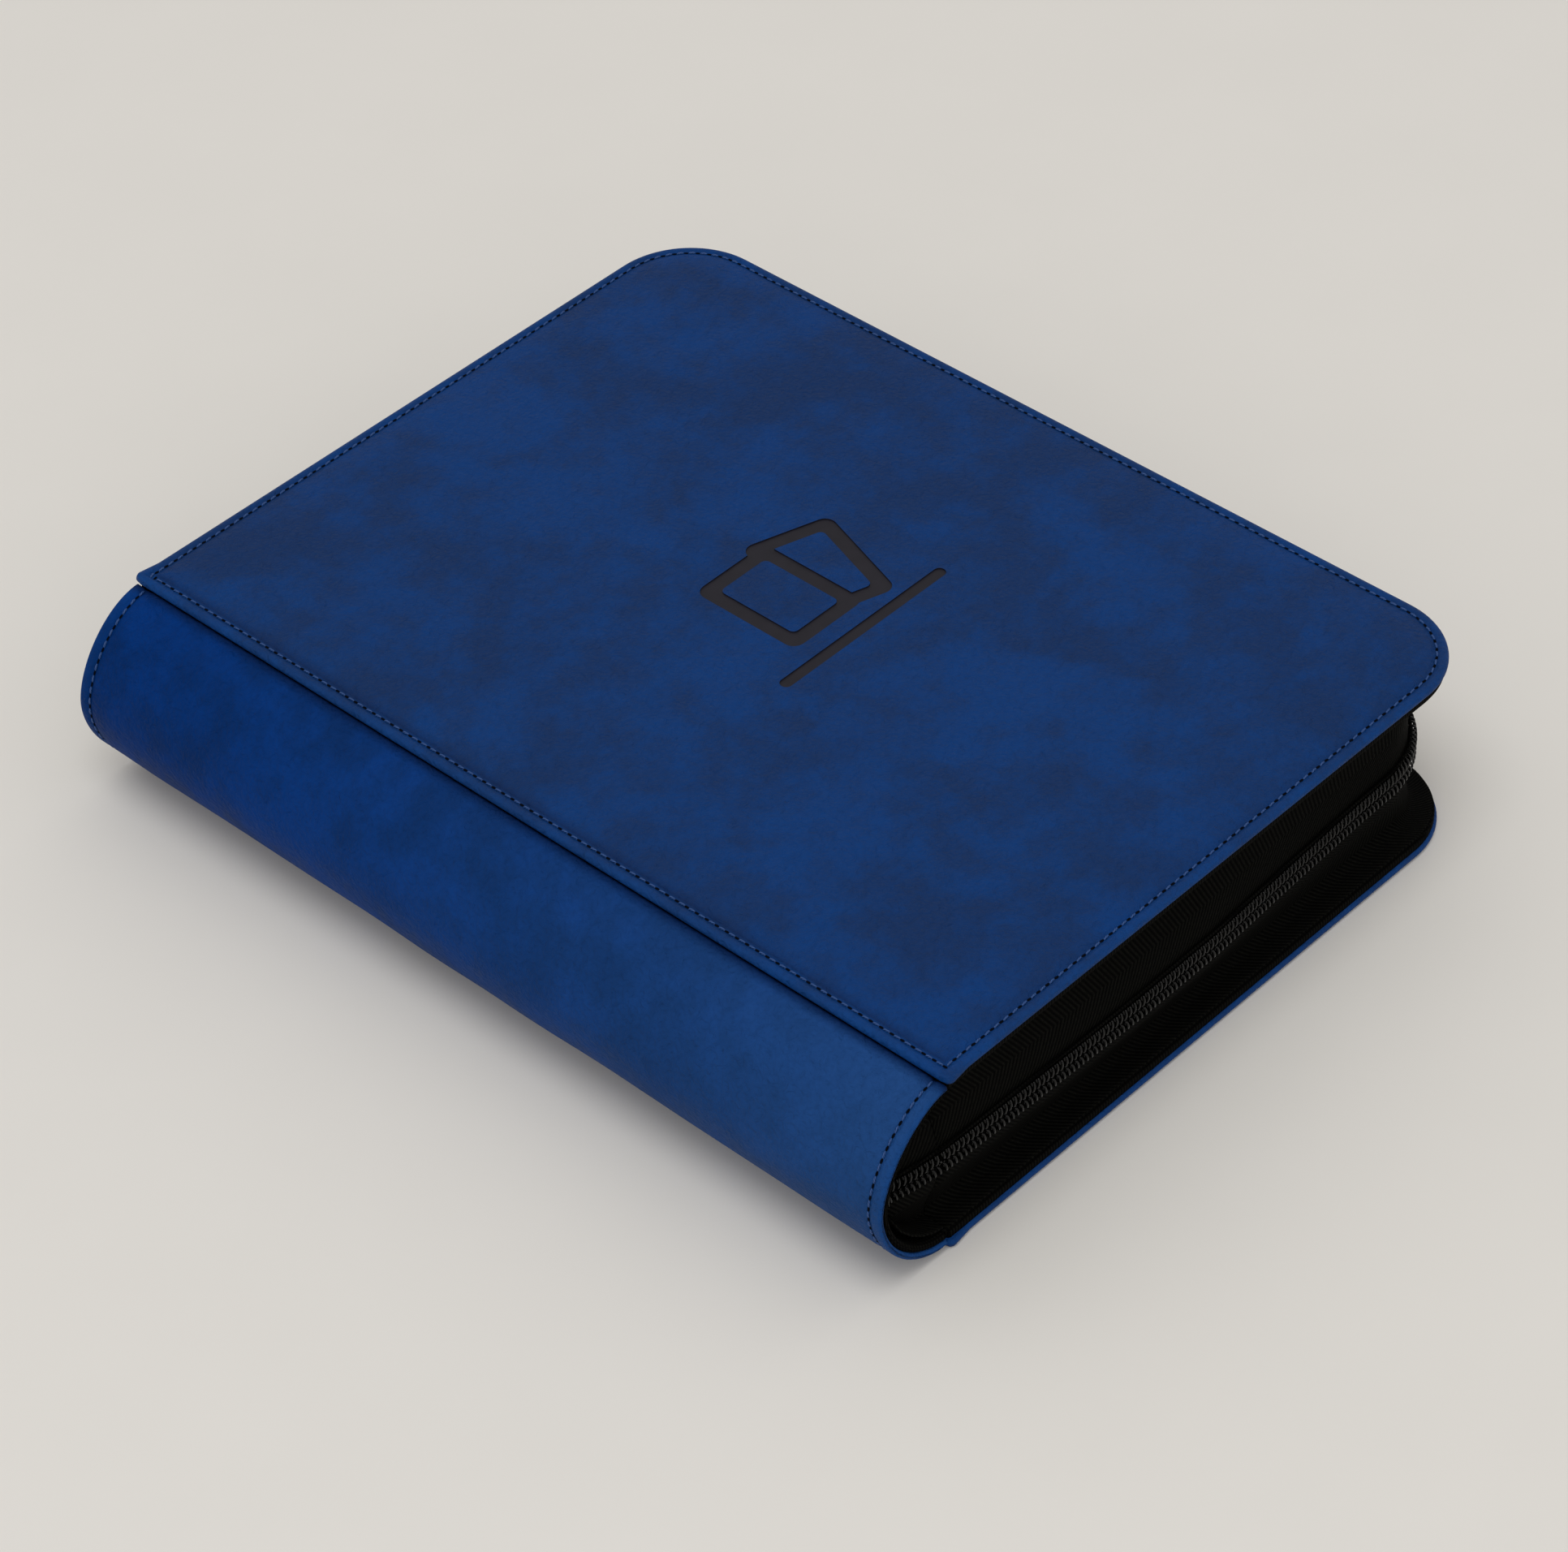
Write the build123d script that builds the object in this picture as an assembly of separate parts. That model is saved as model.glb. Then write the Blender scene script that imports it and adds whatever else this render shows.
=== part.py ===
"""Zip-around binder for trading cards in rigid top loaders, built piece by piece.

The binder lies on its back cover: +Z is up, +Y runs along the spine, +X points from the spine to
the fore edge. The origin is the middle of the back cover's outer face. All sizes are millimetres.
"""
from math import cos, hypot, radians, sin

from build123d import *
import os

# ---- overall sizes ----
cover_length = 256.0        # along the spine
cover_width = 188.0         # spine seam to fore edge
corner_radius = 22.0        # fore-edge corners of both covers
seam_gap = 0.3              # clearance where a cover meets the spine

# ---- cover sandwich, from the outside in ----
skin_thickness = 1.0        # leatherette sheet
foam_thickness = 1.2        # soft layer between the skin and the board
board_thickness = 1.8
lining_thickness = 0.4
turned_edge = 9.0           # width of the skin folded under itself all round
rim_rounding = 0.8          # softened outer edge of the fold
lining_inset = 0.6          # the lined board stops this far inside the skin
nest_gap = 0.05             # clearance between nested layers

# ---- stitching and emblem ----
stitch_inset = 3.0
thread_width = 0.7
thread_depth = 0.35
emblem_depth = 0.3
emblem_line = 4.2
emblem_x = 3.5              # middle of the emblem on the front cover
emblem_y = 6.0
card_icon_width = 24.0
card_icon_height = 32.0
card_icon_radius = 3.0
card_icon_lean = 18.0       # degrees that the rear card leans
card_icon_shift = 9.0
emblem_bar_length = 56.0
emblem_bar_width = 3.2
emblem_bar_gap = 6.5

# ---- spine ----
spine_bulge = 21.6          # how far the spine stands out behind the seams
shoulder_fullness = 1.7     # 2 would make the upper half an ellipse, less makes it flatter
heel_fullness = 1.85
spine_stations = 13         # points that shape each half of the curve
shoulder_step = 2.4         # the front hem stands this far above the spine skin
heel_step = 1.4             # the spine skin stands this far above the back hem
stiffener_thickness = 1.4
spine_flap = 3.0            # skin left solid beside each seam

# ---- zip ----
tape_thickness = 0.7
tape_flange_inset = 0.8     # outer edge of the sewn flange, from the cover edge
tape_foot_inset = 7.0       # where the tape turns up from the cover
tape_chain_inset = 4.4      # where the tape carries the coil
tape_upright = 7.0          # straight height of tape beside the chain
coil_thickness = 2.2
coil_height = 2.6
chain_gap = 1.2             # between the two coil rows, where their heads mesh
coil_release = 28.8         # the upper row starts this far past the seam, clear of the slider
stop_length = 2.0
stop_thickness = 0.5

# ---- slider and pull ----
slider_start = 2.0          # nose of the parked slider, past the seam
slider_length = 22.0
slider_fit = 0.3            # clearance round the coil and tape
slider_plate = 1.4
slider_inner_plate = 1.2
slider_rail = 1.4
slider_corner = 2.5
slider_post_length = 3.0
slider_post_width = 0.9
bridge_width = 3.0
bridge_start = 4.5
bridge_length = 11.0
bridge_leg = 1.2
bridge_opening = 1.9
bridge_top = 1.2
pull_pin = 1.1              # diameter of the cross bar in the bridge
pull_width = 8.0
pull_arm = 1.3
pull_arm_reach = 6.6        # cross bar to the solid part of the tab
pull_length = 24.0
pull_thickness = 1.2
pull_hole = 3.0

# ---- page block ----
page_count = 8
page_core = 0.4
pocket_depth = 2.0          # takes one 76 x 102 x 1.9 mm top loader
film_thickness = 0.2
page_gap = 0.5
stack_clearance = 0.65      # between the page stack and each cover's lining
pocket_width = 77.5
pocket_height = 104.5
pocket_rows = 2
pocket_columns = 2
page_border = 2.5           # welded strip between pockets
film_weld = 1.0             # overlap of a pocket front on its borders
pocket_mouth = 1.5          # slit beside each pocket's open side
page_margin = 7.0           # bare sheet between the hinge line and the pockets
page_hinge_inset = 7.5      # hinge line of the pages, past the seam
hinge_clearance = 0.25     # more than half the sheet, so it can turn
spacer_setback = 0.7        # spacers stop this far behind the hinge line
binding_depth = 6.0         # tabs and spacers reach this far behind the seam
binding_plate_thickness = 1.5

# ---- worked out from the sizes above ----
rim_thickness = skin_thickness + foam_thickness
cover_thickness = rim_thickness + board_thickness + lining_thickness
spine_thickness = rim_thickness + stiffener_thickness + lining_thickness
page_thickness = page_core + 2 * (pocket_depth + film_thickness)
page_pitch = page_thickness + page_gap
stack_height = page_count * page_pitch - page_gap
binder_thickness = 2 * (cover_thickness + stack_clearance) + stack_height
spine_top = binder_thickness - shoulder_step
spine_middle_z = (spine_top + heel_step) / 2
spine_half_height = (spine_top - heel_step) / 2
seam_x = -cover_width / 2
fore_x = cover_width / 2
half_length = cover_length / 2
middle_z = binder_thickness / 2
page_length = pocket_rows * pocket_height + (pocket_rows + 1) * page_border
column_pitch = pocket_width + page_border + pocket_mouth
page_hinge_x = seam_x + page_hinge_inset
first_page_z = middle_z - page_pitch * (page_count - 1) / 2
coil_inset = tape_chain_inset - coil_thickness
chain_half = chain_gap / 2
slider_x = seam_x + slider_start
pull_axis_x = slider_x + bridge_start + bridge_length / 2
slider_face_inset = coil_inset - slider_fit - slider_plate
pull_axis_inset = slider_face_inset - bridge_opening / 2
mid_plane = Plane.XY.offset(middle_z)


def block(x0, x1, y0, y1, z0, z1):
    """A plain box between two corners."""
    return Pos((x0 + x1) / 2, (y0 + y1) / 2, (z0 + z1) / 2) * Box(x1 - x0, y1 - y0, z1 - z0)


def slab(plan, z0, z1):
    """A flat plan extruded from one height to another."""
    return Pos(0, 0, z0) * extrude(plan, z1 - z0)


def opposite(shape):
    """The same piece on the front cover."""
    return mirror(shape, about=mid_plane)


def compound(solids):
    return Compound(children=list(solids))


# ---- covers ----
def cover_plan(inset=0.0, seam_inset=0.0):
    """Plan of a cover, drawn in by inset on its three free sides."""
    x0, x1 = seam_x + seam_inset, fore_x - inset
    plan = Pos((x0 + x1) / 2, 0) * Rectangle(x1 - x0, cover_length - 2 * inset)
    fore_corners = plan.vertices().sort_by(Axis.X)[-2:]
    return fillet(fore_corners, max(corner_radius - inset, rim_rounding))


def stitch_plan():
    """The line of stitching inside a cover's edge and along its hem."""
    return cover_plan(stitch_inset, stitch_inset) - cover_plan(
        stitch_inset + thread_width, stitch_inset + thread_width
    )


def card_outline(x, y, lean):
    """An upright playing-card shape drawn as a plain frame."""
    outer = RectangleRounded(card_icon_width, card_icon_height, card_icon_radius)
    inner = RectangleRounded(
        card_icon_width - 2 * emblem_line, card_icon_height - 2 * emblem_line, card_icon_radius / 2
    )
    return Pos(x, y) * Rot(0, 0, lean) * (outer - inner), Pos(x, y) * Rot(0, 0, lean) * outer


def emblem_plan():
    """Two plain card frames, one behind the other, over a bar."""
    rear, _ = card_outline(card_icon_shift, 0, -card_icon_lean)
    front, front_body = card_outline(-card_icon_shift / 2, 0, 0)
    bar_y = -card_icon_height / 2 - emblem_bar_gap
    bar = Pos(0, bar_y) * Rectangle(emblem_bar_length, emblem_bar_width)
    faces = [*(rear - front_body).faces(), *front.faces(), *bar.faces()]
    return [Pos(emblem_x, emblem_y) * face for face in faces]


def cover_skin():
    skin = slab(cover_plan(), 0, rim_thickness)
    outer_edge = skin.faces().sort_by(Axis.Z)[0].edges()
    skin = fillet(outer_edge, rim_rounding)
    skin -= slab(cover_plan(turned_edge, turned_edge), skin_thickness, rim_thickness)
    return skin - slab(stitch_plan(), 0, thread_depth)


def cover_foam():
    fit = turned_edge + nest_gap
    return slab(cover_plan(fit, fit), skin_thickness, rim_thickness)


def cover_board():
    fit = lining_inset + lining_thickness
    return slab(cover_plan(fit, fit), rim_thickness, rim_thickness + board_thickness)


def cover_lining():
    """Fabric over the board's inner face and wrapped round its edges."""
    fit = lining_inset + lining_thickness
    wrap = slab(cover_plan(lining_inset, lining_inset), rim_thickness, cover_thickness)
    return wrap - slab(cover_plan(fit, fit), rim_thickness, rim_thickness + board_thickness)


def cover_thread():
    return slab(stitch_plan(), 0, thread_depth)


# ---- spine ----
def spine_point(angle, depth):
    """A point on the spine's rounded back, square to the surface and inside it by depth."""
    fullness = shoulder_fullness if angle > 0 else heel_fullness
    out, rise = cos(radians(angle)), abs(sin(radians(angle)))
    out, rise = max(out, 0) ** (2 / fullness), rise ** (2 / fullness)
    slope_x = out ** (fullness - 1) / spine_bulge
    slope_z = rise ** (fullness - 1) / spine_half_height
    reach = depth / hypot(slope_x, slope_z)
    side = 1 if angle > 0 else -1
    x = seam_x - spine_bulge * out + slope_x * reach
    return x, spine_middle_z + side * (spine_half_height * rise - slope_z * reach)


def spine_section(depth):
    """The spine's D-shaped outline, drawn in by depth and closed ahead of the seam plane."""
    step = 90 / (spine_stations - 1)
    back = [spine_point(90 - step * k, depth) for k in range(2 * spine_stations - 1)]
    ahead = seam_x + spine_bulge
    curve = Spline(*back, tangents=[(-1, 0), (1, 0)])
    front = Polyline(back[-1], (ahead, back[-1][1]), (ahead, back[0][1]), back[0])
    return make_face([curve, front])


def spine_core(depth, half_span, front_inset=0.0):
    """Everything inside the spine outline at that depth, over a length along Y."""
    front = seam_x - seam_gap - front_inset
    solid = extrude(Plane.XZ * spine_section(depth), half_span, both=True)
    return solid & block(seam_x - cover_width, front, -half_length, half_length, 0, binder_thickness)


def spine_shell(outer_depth, inner_depth, half_span, front_inset=0.0):
    """A bent sheet that follows the spine, open towards the pages."""
    hollow = extrude(Plane.XZ * spine_section(inner_depth), half_length + 1, both=True)
    return spine_core(outer_depth, half_span, front_inset) - hollow


def spine_skin():
    shell = spine_shell(0, rim_thickness, half_length)
    pocket = spine_shell(skin_thickness, rim_thickness, half_length - turned_edge, spine_flap)
    return shell - pocket


def spine_foam():
    span = half_length - turned_edge - nest_gap
    return spine_shell(
        skin_thickness + nest_gap, rim_thickness - nest_gap, span, spine_flap + nest_gap
    )


def spine_stiffener():
    span = half_length - lining_inset - lining_thickness - nest_gap
    outer, inner = rim_thickness + nest_gap, rim_thickness + stiffener_thickness - nest_gap
    return spine_shell(outer, inner, span, lining_thickness + nest_gap)


def spine_lining():
    """Fabric inside the spine, wrapped round the stiffener's edges."""
    span = half_length - lining_inset
    wrap = spine_shell(rim_thickness + nest_gap, spine_thickness, span)
    room = spine_shell(
        rim_thickness,
        rim_thickness + stiffener_thickness,
        span - lining_thickness,
        lining_thickness,
    )
    return wrap - room


def spine_thread():
    """Rows of stitching round both open ends of the spine."""
    inner_y = half_length - stitch_inset - thread_width
    ring = spine_shell(0, thread_depth, half_length - stitch_inset, seam_gap)
    return ring - block(
        seam_x - 2 * spine_bulge, seam_x + 1, -inner_y, inner_y, -1, binder_thickness + 1
    )


# ---- zip ----
def lower_tape_outline():
    """Section of the lower tape as (inset from the cover edge, height)."""
    base = cover_thickness
    top = middle_z - chain_half
    bend = middle_z - tape_upright
    foot, chain, sheet = tape_foot_inset, tape_chain_inset, tape_thickness
    return [
        (tape_flange_inset, base),
        (foot + sheet, base),
        (chain + sheet, bend),
        (chain + sheet, top),
        (chain, top),
        (chain, bend),
        (foot, base + sheet),
        (tape_flange_inset, base + sheet),
    ]


def lower_wall_outline():
    """The same tape without its sewn flange, as it stands inside the spine."""
    outline = lower_tape_outline()
    return outline[1:6] + [(tape_foot_inset, cover_thickness)]


def lower_coil_outline():
    top = middle_z - chain_half
    return [
        (coil_inset, top - coil_height),
        (tape_chain_inset, top - coil_height),
        (tape_chain_inset, top),
        (coil_inset, top),
    ]


def round_the_edge(outline, finish_x):
    """Carries a section round three sides of the cover, from the seam and back to finish_x."""
    start = seam_x + seam_gap
    bend = fore_x - corner_radius
    side = half_length - corner_radius
    diagonal = corner_radius / 2**0.5
    path = Wire(
        [
            Edge.make_line((start, -half_length), (bend, -half_length)),
            Edge.make_three_point_arc(
                (bend, -half_length), (bend + diagonal, -side - diagonal), (fore_x, -side)
            ),
            Edge.make_line((fore_x, -side), (fore_x, side)),
            Edge.make_three_point_arc(
                (fore_x, side), (bend + diagonal, side + diagonal), (bend, half_length)
            ),
            Edge.make_line((bend, half_length), (finish_x, half_length)),
        ]
    )
    points = [(start, -half_length + inset, z) for inset, z in outline]
    section = make_face(Polyline(*points, close=True))
    return sweep(section, path=path)


def inside_spine(outline, side):
    """Carries a section straight into one end of the spine, as far as its lining."""
    back = seam_x - spine_bulge
    points = [(back, side * (half_length - inset), z) for inset, z in outline]
    run = extrude(make_face(Polyline(*points, close=True)), spine_bulge - seam_gap, dir=(1, 0, 0))
    return run & spine_core(spine_thickness + nest_gap * 2, half_length)


def lower_tape():
    return round_the_edge(lower_tape_outline(), seam_x + seam_gap)


def lower_coil():
    return round_the_edge(lower_coil_outline(), seam_x + seam_gap)


def upper_coil():
    return opposite(round_the_edge(lower_coil_outline(), seam_x + coil_release))


def spine_pieces(outline):
    """A zip section at both ends of the spine, for the lower and the upper half."""
    pieces = []
    for side in (-1, 1):
        lower = inside_spine(outline, side)
        upper = inside_spine([(inset, binder_thickness - z) for inset, z in outline], side)
        pieces += [*lower.solids(), *upper.solids()]
    return compound(pieces)


def zip_stops():
    """A staple over both rows where the chain starts, and a stop on each row where it ends."""
    inner_x = seam_x - spine_bulge + spine_thickness
    start_x = inner_x + stop_length
    y0, y1 = half_length - coil_inset, half_length - coil_inset + stop_thickness
    reach = chain_half + coil_height
    staple = block(start_x, start_x + stop_length, -y1, -y0, middle_z - reach, middle_z + reach)
    stop_x = seam_x - seam_gap - stop_length
    lower = block(stop_x, stop_x + stop_length, y0, y1, middle_z - reach, middle_z - chain_half)
    return staple, compound([lower, opposite(lower)])


# ---- slider ----
def slider_block(x0, x1, inset0, inset1, half_height):
    """A box on the slider, placed by its insets from the cover edge."""
    return block(
        slider_x + x0,
        slider_x + x1,
        half_length - inset1,
        half_length - inset0,
        middle_z - half_height,
        middle_z + half_height,
    )


def slider_plate_block(inset0, inset1, half_height):
    """A slider plate with rounded corners."""
    plate = slider_block(0, slider_length, inset0, inset1, half_height)
    return fillet(plate.edges().filter_by(Axis.Y), slider_corner)


def slider_body():
    """Two plates joined by a post in the chain gap, with rails that hold the coil."""
    outer0, outer1 = slider_face_inset, slider_face_inset + slider_plate
    rail_inner = chain_half + coil_height + slider_fit
    half_height = rail_inner + slider_rail
    rail_end = tape_chain_inset - slider_fit
    inner0 = tape_chain_inset + tape_thickness + slider_fit
    inner1 = inner0 + slider_inner_plate
    body = slider_plate_block(outer0, rail_end, half_height)
    body -= slider_block(-1, slider_length + 1, outer1, rail_end + 1, rail_inner)
    body += slider_plate_block(inner0, inner1, half_height)
    return body + slider_block(
        slider_corner, slider_corner + slider_post_length, outer1, inner0, slider_post_width / 2
    )


def slider_bridge():
    """The arch on the slider's face that the pull hangs from."""
    top_inset = slider_face_inset - bridge_opening - bridge_top
    arch = slider_block(
        bridge_start, bridge_start + bridge_length, top_inset, slider_face_inset, bridge_width / 2
    )
    ends = arch.edges().filter_by(Axis.Z).sort_by(Axis.Y)[-2:]
    arch = fillet(ends, bridge_top)
    return arch - slider_block(
        bridge_start + bridge_leg,
        bridge_start + bridge_length - bridge_leg,
        slider_face_inset - bridge_opening,
        slider_face_inset + 1,
        bridge_width,
    )


def pull_tab():
    """A flat tab on two arms, hung on a cross bar inside the bridge."""
    y = half_length - pull_axis_inset
    y0, y1 = y - pull_thickness / 2, y + pull_thickness / 2
    half_width = pull_width / 2
    tab_x = pull_axis_x + pull_arm_reach
    tab = block(
        tab_x, tab_x + pull_length, y0, y1, middle_z - half_width, middle_z + half_width
    )
    round_corners = tab.edges().filter_by(Axis.Y).sort_by(Axis.X)[-2:]
    tab = fillet(round_corners, half_width - 0.2)
    hole_x = tab_x + pull_length - half_width
    tab -= Pos(hole_x, y, middle_z) * Rot(90, 0, 0) * Cylinder(pull_hole / 2, 2 * pull_thickness)
    arm_z = half_width - pull_arm
    for side in (-1, 1):
        z0, z1 = sorted((middle_z + side * arm_z, middle_z + side * half_width))
        tab += block(pull_axis_x, tab_x, y0, y1, z0, z1)
    bar = Pos(pull_axis_x, y, middle_z) * Cylinder(pull_pin / 2, pull_width)
    return tab + bar


# ---- page block ----
def page_height(index):
    return first_page_z + index * page_pitch


def page_end_x():
    pockets = pocket_columns * column_pitch - pocket_mouth
    return page_hinge_x + page_margin + pockets


def page_sheet(index):
    """The black carrier sheet of one page."""
    z, half = page_height(index), page_core / 2
    y = page_length / 2
    return block(page_hinge_x + hinge_clearance, page_end_x(), -y, y, z - half, z + half)


def both_faces(index, x0, x1, y0, y1, near, far):
    """The same strip on each face of a page, between two heights off its middle."""
    z = page_height(index)
    return [block(x0, x1, y0, y1, z + near, z + far), block(x0, x1, y0, y1, z - far, z - near)]


def pocket_corners():
    """The spine-side, bottom corner of every pocket on a page."""
    first_x = page_hinge_x + page_margin
    first_y = page_border - page_length / 2
    return [
        (first_x + column * column_pitch, first_y + row * (pocket_height + page_border))
        for row in range(pocket_rows)
        for column in range(pocket_columns)
    ]


def page_borders(index):
    """Strips that hold the pocket fronts off the sheet, all round but at the open sides."""
    near, far = page_core / 2, page_core / 2 + pocket_depth
    start_x = page_hinge_x + page_margin
    pieces = []
    for row in range(pocket_rows + 1):
        y0 = -page_length / 2 + row * (pocket_height + page_border)
        pieces += both_faces(index, start_x, page_end_x(), y0, y0 + page_border, near, far)
    for x, y in pocket_corners():
        x0 = x + pocket_width
        pieces += both_faces(index, x0, x0 + page_border, y, y + pocket_height, near, far)
    return compound(pieces)


def page_films(index):
    """The clear pocket fronts of one page, each open on the side that faces the spine."""
    near = page_core / 2 + pocket_depth
    far = near + film_thickness
    pieces = []
    for x, y in pocket_corners():
        x1, y0, y1 = x + pocket_width + page_border, y - film_weld, y + pocket_height + film_weld
        pieces += both_faces(index, x, x1, y0, y1, near, far)
    return compound(pieces)


def binding_room():
    """The space inside the spine lining, carried forward to the page hinges."""
    fit = spine_thickness + 2 * nest_gap
    foot, top = heel_step + fit, spine_top - fit
    ahead = block(seam_x - seam_gap - nest_gap, page_hinge_x, -half_length, half_length, foot, top)
    return spine_core(fit, half_length) + ahead


def binding_layer(x1, z0, z1):
    y = page_length / 2
    layer = block(seam_x - binding_depth, x1, -y, y, z0, z1)
    return (layer & binding_room()).solids()


def page_tabs():
    """The bound edge of each page, up to its hinge line."""
    pieces = []
    for index in range(page_count):
        z = page_height(index)
        pieces += binding_layer(page_hinge_x - hinge_clearance, z - page_core / 2, z + page_core / 2)
    return compound(pieces)


def page_spacers():
    """Strips between the bound edges that keep the pages a loaded pocket apart."""
    pieces = []
    front = page_hinge_x - spacer_setback
    half_end = page_thickness / 2
    for index in range(page_count + 1):
        z0 = page_height(index - 1) + page_core / 2 if index else page_height(0) - half_end
        last = index == page_count
        z1 = page_height(index - 1) + half_end if last else page_height(index) - page_core / 2
        pieces += binding_layer(front, z0, z1)
    return compound(pieces)


def binding_plate():
    """The board behind the bound edges, which stands hollow inside the spine."""
    y = page_length / 2
    back = seam_x - binding_depth - binding_plate_thickness
    plate = block(back, seam_x - binding_depth, -y, y, 0, binder_thickness)
    return plate & spine_core(spine_thickness + 2 * nest_gap, half_length)


def all_nodes():
    """Every sub-part by its node name."""
    skin = cover_skin()
    front_skin = opposite(skin)
    recess_z = binder_thickness - emblem_depth
    for face in emblem_plan():
        front_skin -= slab(face, recess_z, binder_thickness + 1)
    bottom_stop, top_stops = zip_stops()
    tape = lower_tape()
    nodes = {
        "back_cover_skin": skin,
        "back_cover_foam": cover_foam(),
        "back_cover_board": cover_board(),
        "back_cover_lining": cover_lining(),
        "back_cover_thread": cover_thread(),
        "lower_zip_tape": tape,
        "lower_zip_coil": lower_coil(),
        "front_cover_skin": front_skin,
        "front_cover_foam": opposite(cover_foam()),
        "front_cover_board": opposite(cover_board()),
        "front_cover_lining": opposite(cover_lining()),
        "front_cover_thread": opposite(cover_thread()),
        "upper_zip_tape": opposite(tape),
        "upper_zip_coil": upper_coil(),
        "spine_skin": spine_skin() - spine_thread(),
        "spine_foam": spine_foam(),
        "spine_stiffener": spine_stiffener(),
        "spine_lining": spine_lining(),
        "spine_thread": spine_thread(),
        "spine_zip_tape_ends": spine_pieces(lower_wall_outline()),
        "spine_zip_coil_ends": spine_pieces(lower_coil_outline()),
        "zip_bottom_stop": bottom_stop,
        "zip_top_stops": top_stops,
        "zip_slider_body": slider_body(),
        "zip_slider_bridge": slider_bridge(),
        "zip_pull_tab": pull_tab(),
        "binding_plate": binding_plate(),
        "page_tabs": page_tabs(),
        "page_spacers": page_spacers(),
    }
    for index in range(page_count):
        name = f"page_{index + 1}"
        nodes[f"{name}_sheet"] = page_sheet(index)
        nodes[f"{name}_borders"] = page_borders(index)
        nodes[f"{name}_films"] = page_films(index)
    return nodes


def main():
    os.makedirs("parts", exist_ok=True)
    for name, shape in all_nodes().items():
        export_step(shape, f"parts/{name}.step")


main()
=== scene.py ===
import math

import bpy
import numpy as np
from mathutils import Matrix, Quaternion, Vector


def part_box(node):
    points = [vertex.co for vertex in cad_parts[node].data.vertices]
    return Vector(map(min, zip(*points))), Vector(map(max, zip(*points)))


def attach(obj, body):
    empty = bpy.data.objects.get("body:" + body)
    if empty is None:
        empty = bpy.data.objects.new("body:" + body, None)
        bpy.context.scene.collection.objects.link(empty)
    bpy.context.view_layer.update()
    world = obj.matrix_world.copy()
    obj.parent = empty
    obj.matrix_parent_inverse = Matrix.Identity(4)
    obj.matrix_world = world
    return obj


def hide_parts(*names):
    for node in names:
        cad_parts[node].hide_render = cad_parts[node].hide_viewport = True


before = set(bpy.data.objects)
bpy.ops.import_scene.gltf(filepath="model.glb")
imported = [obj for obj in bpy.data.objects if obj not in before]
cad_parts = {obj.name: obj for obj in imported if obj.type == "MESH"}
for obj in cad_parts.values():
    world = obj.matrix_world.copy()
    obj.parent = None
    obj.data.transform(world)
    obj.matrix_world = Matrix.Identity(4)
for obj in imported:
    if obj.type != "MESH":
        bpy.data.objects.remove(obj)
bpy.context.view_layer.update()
mm = 0.001

# where things are, from the frame
coverLow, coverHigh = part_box("front_cover_skin")
spineLow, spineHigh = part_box("spine_skin")
coilLow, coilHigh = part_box("lower_zip_coil")
seamX, foreX = coverLow.x, coverHigh.x
halfLength = coverHigh.y
topZ = coverHigh.z
middleZ = topZ / 2
rimThickness = coverHigh.z - coverLow.z
print("frame loaded, cover", round((foreX - seamX) / mm), "x", round(2 * halfLength / mm), "mm")


def hexToLinear(code):
    channels = [int(code[i:i + 2], 16) / 255 for i in (1, 3, 5)]
    linear = [c / 12.92 if c <= 0.04045 else ((c + 0.055) / 1.055) ** 2.4 for c in channels]
    return (*linear, 1.0)


def addNode(material, kind, inputs=None, **settings):
    tree = material.node_tree
    node = tree.nodes.new("ShaderNode" + kind)
    for name, value in settings.items():
        setattr(node, name, value)
    for socket, value in (inputs or {}).items():
        if isinstance(value, bpy.types.NodeSocket):
            tree.links.new(value, node.inputs[socket])
        else:
            node.inputs[socket].default_value = value
    return node


def newMaterial(name, shader):
    # a bare material with its principled shader; the rest is added by whoever called
    material = bpy.data.materials.new(name)
    material.use_nodes = True
    material.node_tree.nodes.clear()
    principled = addNode(material, "BsdfPrincipled", shader)
    output = addNode(material, "OutputMaterial")
    material.node_tree.links.new(principled.outputs[0], output.inputs[0])
    return material, principled


def plug(material, source, node, socket):
    material.node_tree.links.new(source, node.inputs[socket])


def meshObject(name, points, faces, materials, smooth=True):
    mesh = bpy.data.meshes.new(name)
    mesh.from_pydata([tuple(p) for p in points], [], faces)
    mesh.update()
    for material in materials:
        mesh.materials.append(material)
    for polygon in mesh.polygons:
        polygon.use_smooth = smooth
    thing = bpy.data.objects.new(name, mesh)
    bpy.context.collection.objects.link(thing)
    return thing


def loftFaces(ringCount, ringSize, closedRing=True, closedLoft=False, start=0, flip=False):
    faces = []
    for i in range(ringCount if closedLoft else ringCount - 1):
        a, b = start + i * ringSize, start + (i + 1) % ringCount * ringSize
        for j in range(ringSize if closedRing else ringSize - 1):
            k = (j + 1) % ringSize
            face = (a + j, a + k, b + k, b + j)
            faces.append(face[::-1] if flip else face)
    return faces


def paintAttribute(thing, name, values):
    attribute = thing.data.attributes.new(name, "FLOAT", "POINT")
    attribute.data.foreach_set("value", np.asarray(values, np.float32))


def setUVs(thing, coordinates):
    # one UV per vertex, spread to the loops
    layer = thing.data.uv_layers.new(name="along")
    loops = np.zeros(len(thing.data.loops), np.int32)
    thing.data.loops.foreach_get("vertex_index", loops)
    layer.data.foreach_set("uv", np.asarray(coordinates, np.float32)[loops].ravel())


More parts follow.
